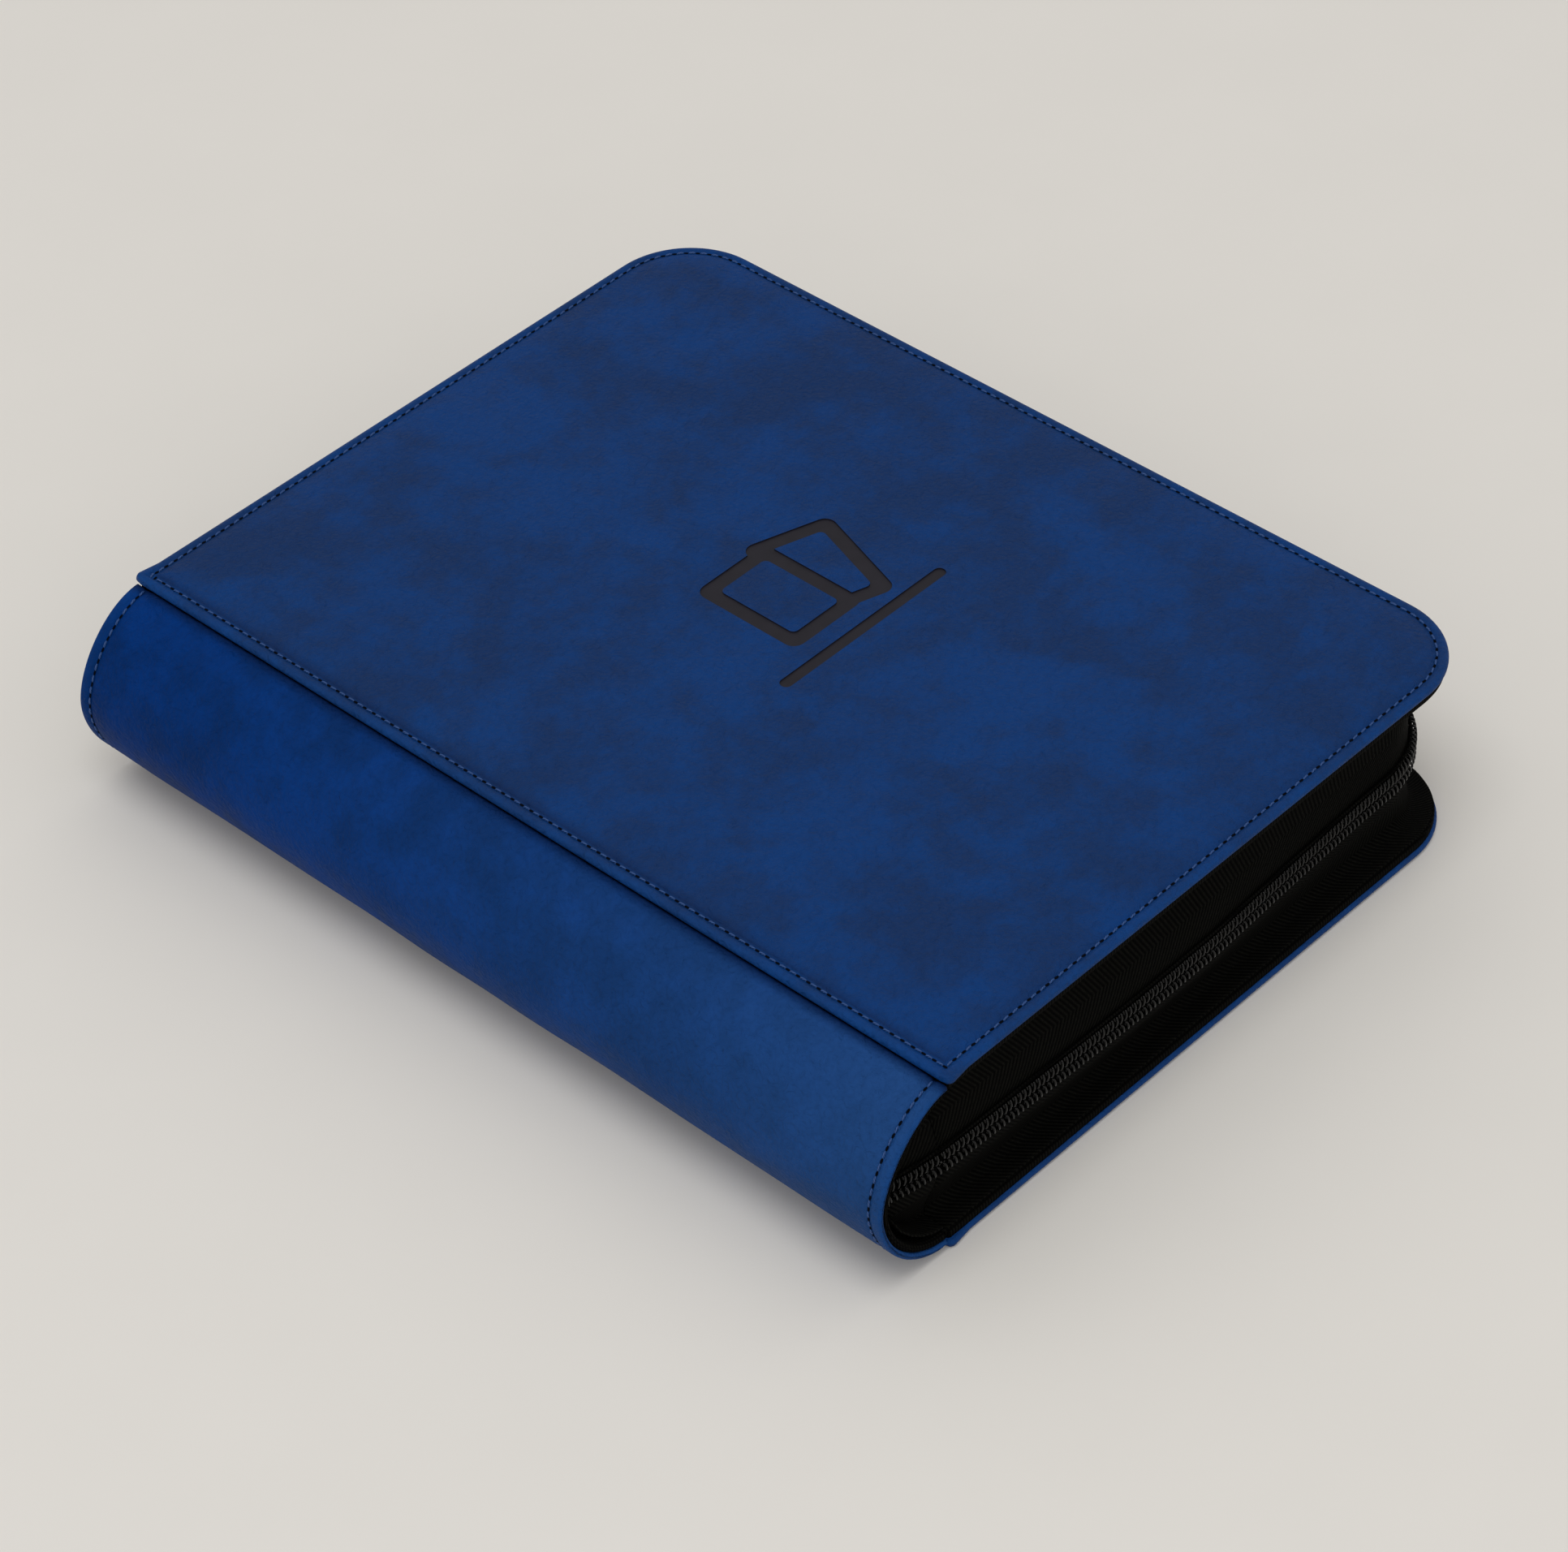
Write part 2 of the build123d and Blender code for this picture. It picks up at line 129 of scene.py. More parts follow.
# PU leatherette, rotary embossed and hand wiped: a dark wash sits in clouds over a brighter ground
# and the fine pebble grain breaks the satin shine
leatheretteLook = {
    "ground": "#083875",
    "wash": "#0f2f5f",
    # painted highlight: the rounded turned edge is painted lighter
    "paintedEdgeSheen": "#0f3f7d",
    "paintedGrooveShade": "#08204a",      # painted shade for grooves, hem tab steps and under the hems
    "washAmount": 0.5,
    "washSoftness": 0.12,
    "cloudSize": 34 * mm,
    "blotchSize": 9 * mm,
    "blotchShare": 0.42,
    "grainSize": 1.15 * mm,     # the real pebble is about 0.6 mm, drawn coarser so that it shows
    "grainDepth": 0.3 * mm,
    "creaseSize": 2.2 * mm,
    "creaseDepth": 0.65 * mm,
    "shine": 0.07,
}
# the spine strip gets a bluer ground and wash and less shine than the covers, and a painted reflection makes
# its near end paler
spineLook = {
    **leatheretteLook,
    "ground": "#003278",
    "wash": "#002860",
    "shine": 0.035,
    "paintedSheen": "#2c5488",
    "paintedSheenFrom": 110 * mm, "paintedSheenTo": -130 * mm,      # the painted reflection grows along Y between these
    "paintedSheenMost": 0.8, "paintedSheenEven": 0.25,
}


def makeLeatherette(name, look):
    material, shader = newMaterial(name, {"Roughness": 0.5, "IOR": 1.5, "Specular IOR Level": look["shine"]})
    place = addNode(material, "TexCoord").outputs["Object"]
    clouds = addNode(material, "TexNoise", {
        "Vector": place, "Scale": 1 / look["cloudSize"], "Detail": 4, "Roughness": 0.55, "Distortion": 0.5,
    })
    blotches = addNode(material, "TexNoise", {
        "Vector": place, "Scale": 1 / look["blotchSize"], "Detail": 5, "Roughness": 0.6,
    })
    both = addNode(material, "Mix", {
        "Factor": look["blotchShare"], "A": clouds.outputs["Fac"], "B": blotches.outputs["Fac"],
    })
    wash = addNode(material, "MapRange", {
        "Value": both.outputs["Result"], "From Min": look["washAmount"] - look["washSoftness"],
        "From Max": look["washAmount"] + look["washSoftness"],
    }, interpolation_type="SMOOTHSTEP")
    body = addNode(material, "Mix", {
        0: wash.outputs["Result"], 6: hexToLinear(look["wash"]), 7: hexToLinear(look["ground"]),
    }, data_type="RGBA")
    # painted reflection: the spine is painted paler and greyer towards its near end, in patches that follow
    # the mottling
    if "paintedSheen" in look:
        parts = addNode(material, "SeparateXYZ", {0: place})
        nearEndSheen = addNode(material, "MapRange", {
            "Value": parts.outputs["Y"], "From Min": look["paintedSheenFrom"], "From Max": look["paintedSheenTo"],
            "To Min": 0.0, "To Max": look["paintedSheenMost"],
        }).outputs["Result"]
        patches = addNode(material, "Math", {
            0: nearEndSheen, 1: both.outputs["Result"], 2: look["paintedSheenEven"],
        }, operation="MULTIPLY_ADD").outputs[0]
        share = addNode(material, "Math", {0: nearEndSheen, 1: patches}, operation="MULTIPLY").outputs[0]
        body = addNode(material, "Mix", {
            0: share, 6: body.outputs[2], 7: hexToLinear(look["paintedSheen"]),
        }, data_type="RGBA")
    # painted highlight: the turned edge goes lighter, in blotches, where its rounded fold catches the light
    turned = addNode(material, "Attribute", attribute_name="turned")
    paintedSheen = addNode(material, "Math", {
        0: turned.outputs["Fac"], 1: blotches.outputs["Fac"],
    }, operation="MULTIPLY")
    colour = addNode(material, "Mix", {
        0: paintedSheen.outputs[0], 6: body.outputs[2], 7: hexToLinear(look["paintedEdgeSheen"]),
    }, data_type="RGBA")
    # painted shade: grooves, the steps of the hem tabs and the spine under its upper hem are painted darker
    paintedShadeMask = addNode(material, "Attribute", attribute_name="paintedShadeMask")
    paintedGrooveShade = addNode(material, "Mix", {
        0: paintedShadeMask.outputs["Fac"], 6: colour.outputs[2], 7: hexToLinear(look["paintedGrooveShade"]),
    }, data_type="RGBA")
    plug(material, paintedGrooveShade.outputs[2], shader, "Base Color")
    # the wash is a touch glossier than the ground
    gloss = addNode(material, "MapRange", {
        "Value": blotches.outputs["Fac"], "From Min": 0.3, "From Max": 0.7, "To Min": 0.44, "To Max": 0.58,
    })
    plug(material, gloss.outputs["Result"], shader, "Roughness")
    pebbles = addNode(material, "TexVoronoi", {
        "Vector": place, "Scale": 1 / look["grainSize"], "Randomness": 0.9,
    }, feature="SMOOTH_F1")
    creases = addNode(material, "TexNoise", {
        "Vector": place, "Scale": 1 / look["creaseSize"], "Detail": 4, "Roughness": 0.6, "Distortion": 1.6,
    })
    grain = addNode(material, "Bump", {
        "Strength": 1.0, "Distance": look["grainDepth"], "Height": pebbles.outputs["Distance"],
    })
    creased = addNode(material, "Bump", {
        "Strength": 1.0, "Distance": look["creaseDepth"], "Height": creases.outputs["Fac"],
        "Normal": grain.outputs[0],
    })
    plug(material, creased.outputs[0], shader, "Normal")
    return material


# the same leatherette burnished by a hot brass die: the wash turns near black and the grain is pressed flat
def makeBurnished():
    material, shader = newMaterial("leatherette PU, hot debossed", {
        "Roughness": 0.5, "IOR": 1.5, "Specular IOR Level": 0.2,
    })
    place = addNode(material, "TexCoord").outputs["Object"]
    patches = addNode(material, "TexNoise", {"Vector": place, "Scale": 1 / (4 * mm), "Detail": 4})
    colour = addNode(material, "Mix", {
        0: patches.outputs["Fac"], 6: hexToLinear("#111019"), 7: hexToLinear("#1f1d27"),
    }, data_type="RGBA")
    plug(material, colour.outputs[2], shader, "Base Color")
    bump = addNode(material, "Bump", {"Distance": 0.04 * mm, "Height": patches.outputs["Fac"]})
    plug(material, bump.outputs[0], shader, "Normal")
    return material


# bonded polyester thread, three plies twisted: small slanted highlights along each stitch
def makeThread():
    material, shader = newMaterial("polyester thread, bonded", {"Roughness": 0.45, "Specular IOR Level": 0.3})
    along = addNode(material, "UVMap", uv_map="along").outputs[0]
    plies = addNode(material, "TexWave", {"Vector": along, "Scale": 0.9, "Distortion": 0.3},
                    bands_direction="DIAGONAL")
    colour = addNode(material, "Mix", {
        0: plies.outputs["Fac"], 6: hexToLinear("#112e5f"), 7: hexToLinear("#2f5896"),
    }, data_type="RGBA")
    plug(material, colour.outputs[2], shader, "Base Color")
    bump = addNode(material, "Bump", {"Distance": 0.05 * mm, "Height": plies.outputs["Fac"]})
    plug(material, bump.outputs[0], shader, "Normal")
    return material


# the needle leaves a pit where each stitch goes down; almost no light comes back out of it
def makeNeedlePit():
    material, shader = newMaterial("leatherette PU, needle pit", {
        "Roughness": 0.9, "Specular IOR Level": 0.05,
    })
    place = addNode(material, "TexCoord").outputs["Object"]
    ragged = addNode(material, "TexNoise", {"Vector": place, "Scale": 1 / (0.4 * mm)})
    colour = addNode(material, "Mix", {
        0: ragged.outputs["Fac"], 6: hexToLinear("#010204"), 7: hexToLinear("#050b18"),
    }, data_type="RGBA")
    plug(material, colour.outputs[2], shader, "Base Color")
    return material


# woven polyester canvas, black: ribs of thread catch a dull grey light and the rest stays black
def makeCanvas():
    material, shader = newMaterial("polyester canvas, plain woven", {
        "Roughness": 0.85, "Specular IOR Level": 0.03,
    })
    place = addNode(material, "TexCoord").outputs["Object"]
    ribSpacing = 0.9 * mm   # real threads are 0.5 mm apart, drawn coarser so that they show
    threads = []
    for direction in ("X", "Y"):
        threads.append(addNode(material, "TexWave", {
            "Vector": place, "Scale": 0.314 / ribSpacing, "Distortion": 0.6, "Detail": 1, "Detail Scale": 2,
        }, bands_direction=direction).outputs["Fac"])
    weave = addNode(material, "Math", {0: threads[0], 1: threads[1]}, operation="MULTIPLY")
    colour = addNode(material, "Mix", {
        0: weave.outputs[0], 6: hexToLinear("#010101"), 7: hexToLinear("#11110f"),
    }, data_type="RGBA")
    plug(material, colour.outputs[2], shader, "Base Color")
    bump = addNode(material, "Bump", {"Distance": 0.12 * mm, "Height": weave.outputs[0]})
    plug(material, bump.outputs[0], shader, "Normal")
    return material


# zip tape, polyester herringbone: slanted ribs change direction in bands along the tape
def makeHerringbone():
    material, shader = newMaterial("polyester zip tape, herringbone", {
        "Roughness": 0.8, "Specular IOR Level": 0.03,
    })
    uv = addNode(material, "UVMap", uv_map="along").outputs[0]
    parts = addNode(material, "SeparateXYZ", {0: uv})
    bandWidth, ribPitch = 8 * mm, 1.25 * mm    # ribs are about 0.9 mm apart, drawn coarser
    fold = addNode(material, "Math", {0: parts.outputs["Y"], 1: bandWidth}, operation="PINGPONG")
    slant = addNode(material, "Math", {
        0: fold.outputs[0], 1: 0.8, 2: parts.outputs["X"],
    }, operation="MULTIPLY_ADD")
    turns = addNode(material, "Math", {0: slant.outputs[0], 1: 2 * math.pi / ribPitch}, operation="MULTIPLY")
    wave = addNode(material, "Math", {0: turns.outputs[0]}, operation="SINE")
    ribs = addNode(material, "MapRange", {"Value": wave.outputs[0], "From Min": -1.0, "From Max": 1.0})
    fuzz = addNode(material, "TexNoise", {"Vector": uv, "Scale": 1 / (0.8 * mm), "Detail": 3})
    rough = addNode(material, "Math", {
        0: ribs.outputs["Result"], 1: fuzz.outputs["Fac"],
    }, operation="MULTIPLY")
    colour = addNode(material, "Mix", {
        0: rough.outputs[0], 6: hexToLinear("#010101"), 7: hexToLinear("#191916"),
    }, data_type="RGBA")
    plug(material, colour.outputs[2], shader, "Base Color")
    bump = addNode(material, "Bump", {"Distance": 0.22 * mm, "Height": ribs.outputs["Result"]})
    plug(material, bump.outputs[0], shader, "Normal")
    return material


# nylon monofilament, dyed black: smooth round wire with small bright highlights
def makeNylon():
    material, shader = newMaterial("nylon monofilament, dyed", {
        "Roughness": 0.18, "IOR": 1.53, "Specular IOR Level": 0.22,
    })
    place = addNode(material, "TexCoord").outputs["Object"]
    dye = addNode(material, "TexNoise", {"Vector": place, "Scale": 1 / (3 * mm)})
    colour = addNode(material, "Mix", {
        0: dye.outputs["Fac"], 6: hexToLinear("#010101"), 7: hexToLinear("#050505"),
    }, data_type="RGBA")
    plug(material, colour.outputs[2], shader, "Base Color")
    return material


# die-cast zinc with baked black lacquer: dark and glossy, greyer where it's rubbed
def makeLacquer():
    material, shader = newMaterial("zinc, die cast and lacquered", {
        "Metallic": 0.6, "Roughness": 0.32, "Coat Weight": 0.4, "Coat Roughness": 0.2,
    })
    place = addNode(material, "TexCoord").outputs["Object"]
    rub = addNode(material, "TexNoise", {"Vector": place, "Scale": 1 / (2.5 * mm), "Detail": 5})
    colour = addNode(material, "Mix", {
        0: rub.outputs["Fac"], 6: hexToLinear("#141414"), 7: hexToLinear("#3c3b3a"),
    }, data_type="RGBA")
    plug(material, colour.outputs[2], shader, "Base Color")
    gloss = addNode(material, "MapRange", {"Value": rub.outputs["Fac"], "To Min": 0.22, "To Max": 0.45})
    plug(material, gloss.outputs["Result"], shader, "Roughness")
    return material


# plain speckled materials for the inside pieces: each has its own grain size and depth
plainLooks = {
    "polypropylene, fine grained": {
        "dark": "#121213", "light": "#1f1f21", "grain": 0.6 * mm, "depth": 0.05 * mm, "roughness": 0.55,
    },
    "polypropylene, heat welded": {
        "dark": "#0d0d0e", "light": "#1a1a1c", "grain": 0.9 * mm, "depth": 0.12 * mm, "roughness": 0.45,
    },
    "EVA foam, closed cell": {
        "dark": "#0b0b0b", "light": "#1c1c1c", "grain": 0.5 * mm, "depth": 0.08 * mm, "roughness": 0.95,
    },
    "greyboard, rolled": {
        "dark": "#5d574d", "light": "#8b8477", "grain": 1.2 * mm, "depth": 0.04 * mm, "roughness": 0.9,
    },
    "floor paper, matt": {
        "dark": "#e1dfdb", "light": "#e4e2de", "grain": 40 * mm, "depth": 0.0, "roughness": 0.9,
    },
}


def makePlain(name):
    look = plainLooks[name]
    material, shader = newMaterial(name, {"Roughness": look["roughness"]})
    place = addNode(material, "TexCoord").outputs["Object"]
    speckle = addNode(material, "TexNoise", {"Vector": place, "Scale": 1 / look["grain"], "Detail": 3})
    colour = addNode(material, "Mix", {
        0: speckle.outputs["Fac"], 6: hexToLinear(look["dark"]), 7: hexToLinear(look["light"]),
    }, data_type="RGBA")
    plug(material, colour.outputs[2], shader, "Base Color")
    bump = addNode(material, "Bump", {"Distance": look["depth"], "Height": speckle.outputs["Fac"]})
    plug(material, bump.outputs[0], shader, "Normal")
    return material


# clear polypropylene film, calendered: nearly invisible but for a soft glare and faint haze
def makeFilm():
    material, shader = newMaterial("polypropylene film, clear", {
        "Roughness": 0.12, "IOR": 1.49, "Alpha": 0.28, "Base Color": hexToLinear("#dfe6ea"),
    })
    place = addNode(material, "TexCoord").outputs["Object"]
    haze = addNode(material, "TexNoise", {"Vector": place, "Scale": 1 / (30 * mm), "Detail": 2})
    gloss = addNode(material, "MapRange", {"Value": haze.outputs["Fac"], "To Min": 0.06, "To Max": 0.2})
    plug(material, gloss.outputs["Result"], shader, "Roughness")
    bump = addNode(material, "Bump", {"Distance": 0.3 * mm, "Height": haze.outputs["Fac"]})
    plug(material, bump.outputs[0], shader, "Normal")
    return material


coverLeather = makeLeatherette("leatherette PU, mottled", leatheretteLook)
spineLeather = makeLeatherette("leatherette PU, mottled, less wash", spineLook)
burnished = makeBurnished()
thread = makeThread()
needlePit = makeNeedlePit()
canvas = makeCanvas()
herringbone = makeHerringbone()
nylon = makeNylon()
lacquer = makeLacquer()
film = makeFilm()
sheetPlastic, weldPlastic, spacerFoam, greyboard, paper = [makePlain(name) for name in plainLooks]
print("materials made")


# covers
coverShape = {
    "cornerRadius": 22 * mm,
    "hemCornerRadius": 1.8 * mm,
    "stitchInset": 2.8 * mm,
    "hemTab": 6.6 * mm,         # the hem strip is folded over both ends of the cover
    "hemTabRise": 0.75 * mm,
    # across the cover from the folded underside to the crown: inset and height, mm
    "profile": [
        (9.5, -2.2), (1.2, -2.2), (0.5, -2.12), (0.15, -1.9), (0.0, -1.5), (0.0, -1.1), (0.08, -0.78),
        (0.25, -0.5), (0.5, -0.3), (0.9, -0.13), (1.3, -0.06), (1.7, -0.1), (2.0, -0.24), (2.3, -0.4),
        (2.8, -0.45), (3.3, -0.4), (3.7, -0.14), (4.4, 0.12), (6.0, 0.36), (9.0, 0.62), (14.0, 0.85),
        (20.0, 1.0), (30.0, 1.12), (45.0, 1.18), (56.0, 1.2),
    ],
}


def straightShares(tab, length):
    # where points fall along a short side: close together at the hem tab's step
    shares = [0.0, (tab - 0.3 * mm) / length, (tab - 0.1 * mm) / length, (tab + 0.1 * mm) / length]
    return shares + list(np.linspace((tab + 0.6 * mm) / length, 1.0, 42))


def outline(inset, shape):
    # points and outward normals round a cover, always the same number, from the hem's near corner
    x0, x1, y1 = seamX + inset, foreX - inset, halfLength - inset
    fore = max(shape["cornerRadius"] - inset, 0.3 * mm)
    hem = max(shape["hemCornerRadius"] - inset, 0.05 * mm)
    shares = straightShares(shape["hemTab"], foreX - seamX)
    corners = [(x0 + hem, -y1 + hem, hem, 180, 5), (x1 - fore, -y1 + fore, fore, 270, 22),
               (x1 - fore, y1 - fore, fore, 0, 22), (x0 + hem, y1 - hem, hem, 90, 5)]
    between = [shares, np.linspace(0, 1, 60), [1 - s for s in shares[::-1]], np.linspace(0, 1, 60)]
    points = []
    for i, (cx, cy, radius, start, count) in enumerate(corners):
        for step in range(count + 1):
            a = math.radians(start + 90 * step / count)
            points.append((cx + radius * math.cos(a), cy + radius * math.sin(a), math.cos(a), math.sin(a)))
        nx, ny, nextRadius, nextStart, _ = corners[(i + 1) % 4]
        a = math.radians(nextStart)
        last, goal = points[-1], (nx + nextRadius * math.cos(a), ny + nextRadius * math.sin(a))
        for share in list(between[i])[1:-1]:
            points.append((last[0] + (goal[0] - last[0]) * share, last[1] + (goal[1] - last[1]) * share,
                           last[2], last[3]))
    return np.array(points)


def makeCover(name, face, up, shape, crown):
    # face is the height of the outer face and up is the way it looks, 1 or -1; crown, in mm, caps the rings
    points, turned, paintedShadeMask = [], [], []
    rings = shape["profile"]
    for inset, height in rings:
        ring = outline(inset * mm, shape)
        z = np.full(len(ring), min(height, crown) * mm)
        tab = (ring[:, 0] - seamX < shape["hemTab"]) & (inset < 2.0)
        fade = max(0.0, 1 - inset / 2.0)
        ring[tab, 1] += np.sign(ring[tab, 1]) * shape["hemTabRise"] * fade * (np.abs(ring[tab, 3]) > 0.5)
        if height > -0.6:
            z[tab] += 0.25 * shape["hemTabRise"]
        points += [(x, y, face + up * h) for (x, y), h in zip(ring[:, :2], z)]
        # painted highlight: the turned edge is marked for a lighter colour, most at the fold
        turned += [float(np.interp(inset, (0.3, 1.2, 3.1, 3.6), (1.0, 0.45, 0.3, 0.0)))] * len(ring)
        # painted shade in the hem side's groove and at the step where a hem tab ends
        beside = np.clip(1 - (ring[:, 0] - seamX - inset * mm) / (0.5 * mm), 0, 1) * np.interp(
            inset, (2.3, 3.3, 3.7, 4.4, 6.0), (0.0, 0.0, 0.6, 0.3, 0.0))
        step = np.clip(1 - np.abs(ring[:, 0] - seamX - shape["hemTab"]) / (0.35 * mm), 0, 1) * (-0.6 < height)
        paintedShadeMask += list(np.maximum(beside, step * (inset < 2.5)))
    size = len(ring)
    faces = loftFaces(len(rings), size, flip=up < 0)
    under, crownCap = list(range(size)), list(range((len(rings) - 1) * size, len(rings) * size))
    faces += [under[::-1], crownCap] if up > 0 else [under, crownCap[::-1]]
    cover = meshObject(name, points, faces, [coverLeather, burnished])
    for polygon in list(cover.data.polygons)[-2:]:
        polygon.use_smooth = False      # the crown is a plane, and stays one round the emblem
    paintAttribute(cover, "turned", turned)
    paintAttribute(cover, "paintedShadeMask", paintedShadeMask)
    return cover


# two plain card frames over a bar, pressed into the front cover
emblem = {
    "depth": 0.3 * mm, "line": 4.2 * mm, "cardWidth": 24 * mm, "cardHeight": 32 * mm, "cardRadius": 3 * mm,
    "lean": 18.0, "shift": 9 * mm, "barLength": 56 * mm, "barLine": 3.2 * mm, "barGap": 6.5 * mm,
    "centre": (3.5 * mm, 6.0 * mm),
}


def roundedCard(width, height, radius):
    loop = []
    for cx, cy, start in ((1, 1, 0), (-1, 1, 90), (-1, -1, 180), (1, -1, 270)):
        for step in range(7):
            a = math.radians(start + 15 * step)
            loop.append((cx * (width / 2 - radius) + radius * math.cos(a),
                         cy * (height / 2 - radius) + radius * math.sin(a)))
    return loop


def prism(name, loop, low, high, shift=(0, 0), lean=0.0):
    c, s = math.cos(math.radians(lean)), math.sin(math.radians(lean))
    middleX, middleY = emblem["centre"]
    flat = [(middleX + shift[0] + x * c - y * s, middleY + shift[1] + x * s + y * c) for x, y in loop]
    count = len(flat)
    points = [(*p, low) for p in flat] + [(*p, high) for p in flat]
    faces = loftFaces(2, count) + [list(range(count))[::-1], list(range(count, 2 * count))]
    block = meshObject(name, points, faces, [coverLeather, burnished], smooth=False)
    block.data.polygons.foreach_set("material_index", [1] * len(faces))
    return block


def booleanWith(thing, tool, operation):
    # applied at once, so no modifier and no tool is left
    modifier = thing.modifiers.new("cut", "BOOLEAN")
    modifier.object, modifier.operation, modifier.solver = tool, operation, "EXACT"
    graph = bpy.context.evaluated_depsgraph_get()
    made = bpy.data.meshes.new_from_object(thing.evaluated_get(graph))
    thing.modifiers.clear()
    thing.data = made
    bpy.data.objects.remove(tool)


def pressEmblem(cover, surface):
    low, high = surface - emblem["depth"], surface + 2 * mm
    width, height, line, radius = [emblem[k] for k in ("cardWidth", "cardHeight", "line", "cardRadius")]
    frontShift, rearShift = (-emblem["shift"] / 2, 0), (emblem["shift"], 0)
    inner = roundedCard(width - 2 * line, height - 2 * line, radius / 2)
    rear = prism("rearCard", roundedCard(width, height, radius), low, high, rearShift, -emblem["lean"])
    hole = prism("rearInner", inner, low - mm, high + mm, rearShift, -emblem["lean"])
    booleanWith(rear, hole, "DIFFERENCE")
    booleanWith(rear, prism("frontBody", roundedCard(width, height, radius), low - mm, high + mm, frontShift),
                "DIFFERENCE")
    front = prism("frontCard", roundedCard(width, height, radius), low, high, frontShift)
    booleanWith(front, prism("frontInner", inner, low - mm, high + mm, frontShift), "DIFFERENCE")
    barY = -height / 2 - emblem["barGap"]
    bar = roundedCard(emblem["barLength"], emblem["barLine"], emblem["barLine"] / 2 - 0.01 * mm)
    for tool in (rear, front, prism("bar", bar, low, high, (0, barY))):
        booleanWith(cover, tool, "DIFFERENCE")


frontCover = makeCover("frontCoverSkin", topZ, 1, coverShape, 9.0)
pressEmblem(frontCover, topZ + coverShape["profile"][-1][1] * mm)
backCover = makeCover("backCoverSkin", 0.0, -1, coverShape, 0.0)
for cover, side in ((frontCover, "front"), (backCover, "back")):
    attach(cover, side + "_cover")
    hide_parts(side + "_cover_skin", side + "_cover_foam")
print("covers made")


# cover linings
liningShape = {
    **coverShape,
    "hemTabRise": 0.0,
    # inset and depth below the skin, mm: up the outside, round the fold and across the inner face
    "profile": [(9.0, 0.02), (0.62, 0.02), (0.6, 0.7), (0.6, 1.4), (0.72, 1.86), (1.05, 2.12), (1.7, 2.2),
                (6.0, 2.2), (20.0, 2.2), (50.0, 2.2)],
}


def makeLining(name, seam, down):
    # seam is the height of the face glued to the skin and down is the way the inner face looks
    points = []
    for inset, depth in liningShape["profile"]:
        ring = outline(inset * mm, liningShape)
        points += [(x, y, seam + down * depth * mm) for x, y in ring[:, :2]]
    size, count = len(ring), len(liningShape["profile"])
    faces = loftFaces(count, size, flip=down < 0)
    first, last = list(range(size)), list(range((count - 1) * size, count * size))
    faces += [first[::-1], last] if down > 0 else [first, last[::-1]]
    return meshObject(name, points, faces, [canvas])


linings = {
    "front": makeLining("frontCoverLining", topZ - rimThickness, -1),
    "back": makeLining("backCoverLining", rimThickness, 1),
}
for side, lining in linings.items():
    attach(lining, side + "_cover")
    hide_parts(side + "_cover_lining", side + "_cover_board")
print("linings made")


# spine
spineShape = {
    "bulge": spineHigh.x - spineLow.x,
    "halfHeight": (spineHigh.z - spineLow.z) / 2,
    "middle": (spineHigh.z + spineLow.z) / 2,
    "upperFullness": 1.7,       # 2 is an ellipse and less is flatter
    "lowerFullness": 1.85,
    "skin": 1.5 * mm,
    "lining": 1.9 * mm,
    "underHem": 0.55 * mm,      # the strip's top edge runs on under the hem and is glued there
    "tuck": 0.5 * mm,           # the strip dips where it meets the lower hem
    "tuckReach": 2.2 * mm,
    "rippleDepth": 0.2 * mm,
    "shadedReach": 2.6 * mm,    # painted shade reaches this far out from under the upper hem
    "endRounding": 0.7 * mm,
}


def softCurve(shape):
    # the outside of the spine from the front seam round to the back seam, evenly spaced
    t = np.radians(np.linspace(90, -90, 361))
    fullness = np.where(t > 0, shape["upperFullness"], shape["lowerFullness"])
    x = spineHigh.x - shape["bulge"] * np.cos(t).clip(0) ** (2 / fullness)
    z = shape["middle"] + np.sign(t) * shape["halfHeight"] * np.abs(np.sin(t)) ** (2 / fullness)
    length = np.concatenate([[0], np.cumsum(np.hypot(np.diff(x), np.diff(z)))])
    even = np.linspace(0, length[-1], 81)
    line = np.column_stack([np.interp(even, length, x), np.interp(even, length, z)])
    for _ in range(4):
        line[1:-1] = (line[:-2] + 2 * line[1:-1] + line[2:]) / 4
    line = np.vstack([[line[0, 0] + shape["underHem"], line[0, 1]], line])
    along = np.gradient(line, axis=0)
    along /= np.linalg.norm(along, axis=1)[:, None]
    return np.column_stack([line, along[:, 1], -along[:, 0]])


spineCurve = softCurve(spineShape)


def spineSection(depth):
    # the same curve drawn in by depth
    rows = spineCurve.copy()
    rows[:, :2] -= depth * rows[:, 2:]
    rows[1:, 0] = np.minimum(rows[1:, 0], spineHigh.x)
    return rows


def ripple(x, y, z):
    # soft waves left by pulling the skin round the curve
    a = math.sin(y / (17 * mm) + 3 * math.sin(z / (21 * mm)))
    b = math.sin(y / (7.3 * mm) - z / (11 * mm) + 1.3 * math.sin(y / (29 * mm)))
    return 0.6 * a + 0.4 * b


